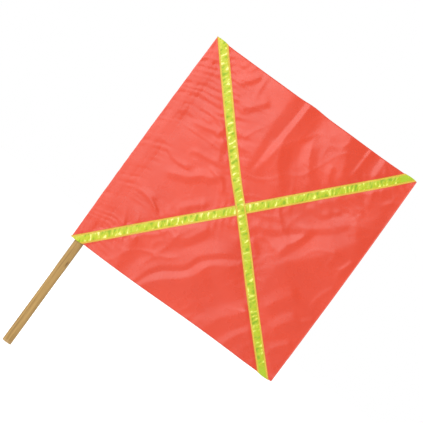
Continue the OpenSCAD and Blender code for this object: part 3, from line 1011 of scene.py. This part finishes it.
def steel_material():
    m, tree, shader = material("steel")
    place = place_of(tree)
    brushed = noise(tree, stretched(tree, place, (1.0, 1.0, 0.08)), 2500.0, 3.0)
    grey = ramp(tree, brushed, [(0.3, STEEL_DARK), (0.7, STEEL_LIGHT)])
    link(tree, grey, shader.inputs["Base Color"])
    link(tree, to_range(tree, brushed, 0.3, 0.7, 0.28, 0.42), shader.inputs["Roughness"])
    shader.inputs["Metallic"].default_value = 1.0
    bump(tree, shader, brushed, 0.02 * MM, 0.4)
    return m


# ---------- the object
VINYL = vinyl_material()
TAPE = tape_material()
SEAM_THREAD = thread_material("seam_thread", (0.45, 0.035, 0.015), (0.70, 0.10, 0.05))
TAPE_THREAD = thread_material("tape_thread", (0.55, 0.38, 0.05), (0.80, 0.62, 0.12))
WOOD = wood_material()
STEEL = steel_material()


def on_both_bodies(piece):
    """The piece's place is baked into its mesh."""
    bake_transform(piece)


def build_sheet():
    piece, cut_width = make_sheet(VINYL)
    on_both_bodies(piece)
    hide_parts("flag_pocket", "flag_panel")
    return piece, cut_width


def build_tapes():
    """The four tapes, each with the width and length it has when it lies flat."""
    made = []
    tuck_x = HEM_X - 3 * MM
    for word, direction, seed in (("rising", RISING, 100), ("falling", FALLING, 120)):
        front = make_tape(f"{word}_tape_on_front", direction, FRONT, None, TAPE, seed)
        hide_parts(f"{word}_tape_front", f"{word}_tape_pocket_end")
        back = make_tape(f"{word}_tape_on_back", direction, BACK, tuck_x, TAPE, seed + 50)
        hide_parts(f"{word}_tape_back")
        for piece, tuck in ((front, None), (back, tuck_x)):
            on_both_bodies(piece)
            low, high = tape_ends(direction, np.float64(0), tuck)
            made.append((piece, (TAPE_W, float((high - low) / math.sin(TAPE_SLOPE)))))
    return made


def build_tape_stitches():
    """Two rows on each tape, in front all the way and on the back up to the hem."""
    shift = TAPE_HALF - STITCH_INSET
    faces = (("needle", FRONT, -math.inf), ("bobbin", BACK, HEM_X + 0.5 * MM))
    for word, direction in (("rising", RISING), ("falling", FALLING)):
        for level, sign in (("upper", -1), ("lower", 1)):
            for face, toward, low_x in faces:
                name = f"{word}_{level}_{face}_stitches"
                piece = tape_row(name, direction, sign * shift, toward, low_x, TAPE_THREAD)
                on_both_bodies(piece)
                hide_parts(f"{word}_{level}_{face}_thread")
                if toward == FRONT:
                    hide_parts(f"{word}_pocket_end_thread")


def build_seam():
    made = []
    for face, mid, toward in (("needle", front_mid, FRONT), ("bobbin", back_mid, BACK)):
        piece = seam_row(f"pocket_{face}_stitches", mid, toward, SEAM_THREAD)
        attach(piece, "staff")
        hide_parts(f"pocket_{face}_thread")
        made.append(piece)
    return made


def build_staff():
    staff = make_dowel(WOOD)
    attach(staff, "staff")
    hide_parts("staff_dowel")
    wire = make_staples(STEEL)
    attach(wire, "staff")
    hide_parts("staples")


# ---------- camera, floor and light
# The camera looks straight at the flag's front, turned so that the staff leans down to the left.
ROLL = math.radians(36.2)
VIEW_WIDTH = 1.0475
AIM_LEFT, AIM_DOWN = 0.0808, 0.0056
LENS, SENSOR = 200.0, 36.0
FLOOR_HALF = 12.0
FRONT_WATTS, BACK_WATTS = 106, 60


def stand(thing, side, up, back, spot):
    """Put a camera or a lamp in its place, and add it to the scene."""
    rows = np.stack([side, up, back, spot], axis=1).tolist()
    thing.matrix_world = Matrix(rows + [[0, 0, 0, 1]])
    bpy.context.scene.collection.objects.link(thing)


def make_camera():
    right = np.array([math.cos(ROLL), 0, math.sin(ROLL)])
    up = np.array([-math.sin(ROLL), 0, math.cos(ROLL)])
    aim = np.array([MID_X, -SHEET_T, MID_Z]) - right * AIM_LEFT - up * AIM_DOWN
    back = np.array([0, -1, 0])
    data = bpy.data.cameras.new("camera")
    data.lens, data.sensor_width = LENS, SENSOR
    data.clip_start, data.clip_end = 0.1, 60
    camera = bpy.data.objects.new("camera", data)
    stand(camera, right, up, back, aim + back * VIEW_WIDTH * LENS / SENSOR)
    bpy.context.scene.camera = camera


def soft_box(name, spot, size, watts, look_at):
    data = bpy.data.lights.new(name, "AREA")
    data.shape = "RECTANGLE"
    data.size, data.size_y = size
    data.energy = watts
    lamp = bpy.data.objects.new(name, data)
    back = np.array(spot) - np.array(look_at)
    back = back / np.linalg.norm(back)
    side = np.cross([0, 0, 1], back)
    side = side / np.linalg.norm(side)
    stand(lamp, side, np.cross(back, side), back, spot)
    lamp.visible_camera = False


def make_studio():
    scene = bpy.context.scene
    scene.view_settings.view_transform = "Standard"
    world = bpy.data.worlds.new("white_tent")
    world.use_nodes = True
    world.node_tree.nodes["Background"].inputs[0].default_value = (1, 1, 1, 1)
    world.node_tree.nodes["Background"].inputs[1].default_value = 1.0
    scene.world = world
    m, tree, shader = material("floor_paint")
    cloudy = noise(tree, place_of(tree), 4.0, 3.0)
    white = ramp(tree, cloudy, [(0.3, (0.90, 0.90, 0.90)), (0.7, (0.94, 0.94, 0.94))])
    link(tree, white, shader.inputs["Base Color"])
    shader.inputs["Roughness"].default_value = 0.8
    shader.inputs["Emission Color"].default_value = (1, 1, 1, 1)
    shader.inputs["Emission Strength"].default_value = 0.25
    corners = [(x * FLOOR_HALF, y * FLOOR_HALF, 0) for x, y in ((-1, -1), (1, -1), (1, 1), (-1, 1))]
    floor = new_object("floor", corners, [(0, 1, 2, 3)], m)
    middle = (MID_X, 0, MID_Z)
    soft_box("front_soft_box", (MID_X - 1.35, -3.0, MID_Z + 1.10), (3.0, 3.0), FRONT_WATTS, middle)
    soft_box("back_soft_box", (MID_X - 1.35, 3.0, MID_Z + 0.95), (2.6, 2.6), BACK_WATTS, middle)


make_camera()
make_studio()
build_staff()
sheet, CUT_WIDTH = build_sheet()
tapes = build_tapes()
build_tape_stitches()
seam_stitches = build_seam()
